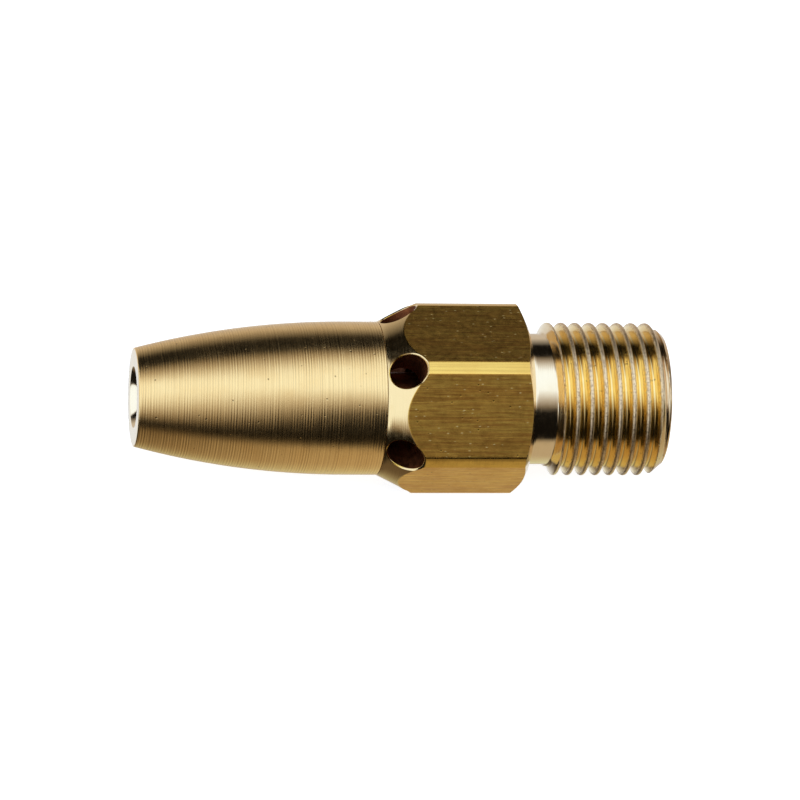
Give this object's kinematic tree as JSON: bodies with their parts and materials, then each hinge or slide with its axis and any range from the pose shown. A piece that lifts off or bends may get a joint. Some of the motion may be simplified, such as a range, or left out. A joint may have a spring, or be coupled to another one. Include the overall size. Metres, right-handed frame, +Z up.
{
  "type": "oil burner nozzle",
  "caption": "Air-entraining oil burner nozzle: hexagonal brass jet holder with radial air ports and a threaded stud, under a bullet-shaped screw-on mixing barrel.",
  "frame": {"origin": "on the nozzle's axis, in the plane of the sealing shoulder behind the hexagon", "axes": "+X along the axis out of the threaded stud, the spray leaves along -X, +Z up with a hexagon flat facing down"},
  "size_m": [0.0337, 0.0122, 0.011],
  "materials": {
    "brass_hexagon": "drawn bar, dull on the flats, turned bright on cone, neck and thread",
    "brass_barrel": "fine turned",
    "brass_inner": "machined",
    "copper": "soft annealed copper",
    "steel": "ground stainless",
    "spring_steel": "drawn wire",
    "nitrile": "matt moulded",
    "gauze": "woven wire"
  },
  "bodies": {
    "jet_holder": {"nozzle_body": "brass_hexagon", "jet_seal_washer": "copper", "jet_body": "brass_inner", "orifice_disc": "steel", "swirl_distributor": "steel", "distributor_lock_screw": "steel", "valve_cage": "brass_inner", "valve_spring": "spring_steel", "valve_seat": "brass_inner"},
    "seal_ring": {"barrel_seal_ring": "copper"},
    "barrel": {"mixing_barrel": "brass_barrel"},
    "plunger": {"valve_plunger": "brass_inner", "valve_seal": "nitrile"},
    "strainer": {"strainer_seal": "copper", "strainer_frame": "brass_inner", "strainer_gauze": "gauze"},
    "retainer": {"strainer_retainer": "brass_inner"}
  },
  "joints": [
    {"name": "barrel_advance", "type": "slide", "parent": "jet_holder", "child": "seal_ring", "axis": [-1, 0, 0], "range_m": [0, 0.0035]},
    {"name": "barrel_turn", "type": "hinge", "parent": "seal_ring", "child": "barrel", "pos_m": [-0.0125, 0, 0], "axis": [-1, 0, 0], "range_deg": [0, 2520]},
    {"name": "valve_lift", "type": "slide", "parent": "jet_holder", "child": "plunger", "axis": [-1, 0, 0], "range_m": [0, 0.0005], "stiffness_N_per_m": 400, "springref_m": -0.001, "deforming": ["valve_spring"]},
    {"name": "strainer_advance", "type": "slide", "parent": "jet_holder", "child": "strainer", "axis": [1, 0, 0], "range_m": [0, 0.00175]},
    {"name": "retainer_turn", "type": "hinge", "parent": "strainer", "child": "retainer", "pos_m": [0.0079, 0, 0], "axis": [1, 0, 0], "range_deg": [0, 1260]}
  ],
  "couplings": [
    {"joint": "barrel_turn", "follows": "barrel_advance", "rad_per_m": 12566},
    {"joint": "retainer_turn", "follows": "strainer_advance", "rad_per_m": 12566}
  ]
}
